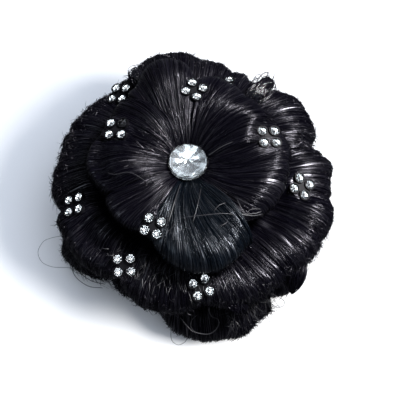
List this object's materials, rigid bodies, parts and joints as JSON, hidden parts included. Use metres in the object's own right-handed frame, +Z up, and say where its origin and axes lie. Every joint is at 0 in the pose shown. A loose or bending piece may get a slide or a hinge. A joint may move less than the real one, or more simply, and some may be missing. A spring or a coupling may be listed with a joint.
{
  "type": "hair bun brooch",
  "caption": "Flower-shaped hair bun brooch of black rolled hair lobes in tiers on a domed net cap, with a round crystal at its centre, small stone sprigs and a comb beneath.",
  "frame": {"origin": "centre of the bounding box on the ground plane, under the whole brooch", "axes": "+Z up from the net cap's open rim to the crystal, -Y towards the front of the picture, +X to its right"},
  "size_m": [0.1134, 0.1196, 0.0592],
  "materials": {
    "hair": "glossy black hair, combed radially",
    "net": "matt black net",
    "comb": "black plastic",
    "crystal": "clear cut crystal with a foil back",
    "stones": "clear cut stones with a foil back",
    "stone_cups": "black cups",
    "crystal_cup": "black cup"
  },
  "bodies": {
    "root": {"comb": "comb", "crystal": "crystal", "crystal_mount": "crystal_cup", "net_cap": "net", "petal_inner_1": "hair", "petal_inner_2": "hair", "petal_inner_3": "hair", "petal_inner_4": "hair", "petal_inner_5": "hair", "petal_inner_6": "hair", "petal_inner_7": "hair", "petal_middle_1": "hair", "petal_middle_10": "hair", "petal_middle_2": "hair", "petal_middle_3": "hair", "petal_middle_4": "hair", "petal_middle_5": "hair", "petal_middle_6": "hair", "petal_middle_7": "hair", "petal_middle_8": "hair", "petal_middle_9": "hair", "petal_outer_1": "hair", "petal_outer_2": "hair", "petal_outer_3": "hair", "petal_outer_4": "hair", "petal_outer_5": "hair", "petal_outer_6": "hair", "petal_outer_7": "hair", "petal_outer_8": "hair", "sprig_plate_01": "stone_cups", "sprig_plate_02": "stone_cups", "sprig_plate_03": "stone_cups", "sprig_plate_04": "stone_cups", "sprig_plate_05": "stone_cups", "sprig_plate_06": "stone_cups", "sprig_plate_07": "stone_cups", "sprig_plate_08": "stone_cups", "sprig_plate_09": "stone_cups", "sprig_plate_10": "stone_cups", "sprig_stones_01": "stones", "sprig_stones_02": "stones", "sprig_stones_03": "stones", "sprig_stones_04": "stones", "sprig_stones_05": "stones", "sprig_stones_06": "stones", "sprig_stones_07": "stones", "sprig_stones_08": "stones", "sprig_stones_09": "stones", "sprig_stones_10": "stones"}
  },
  "joints": []
}
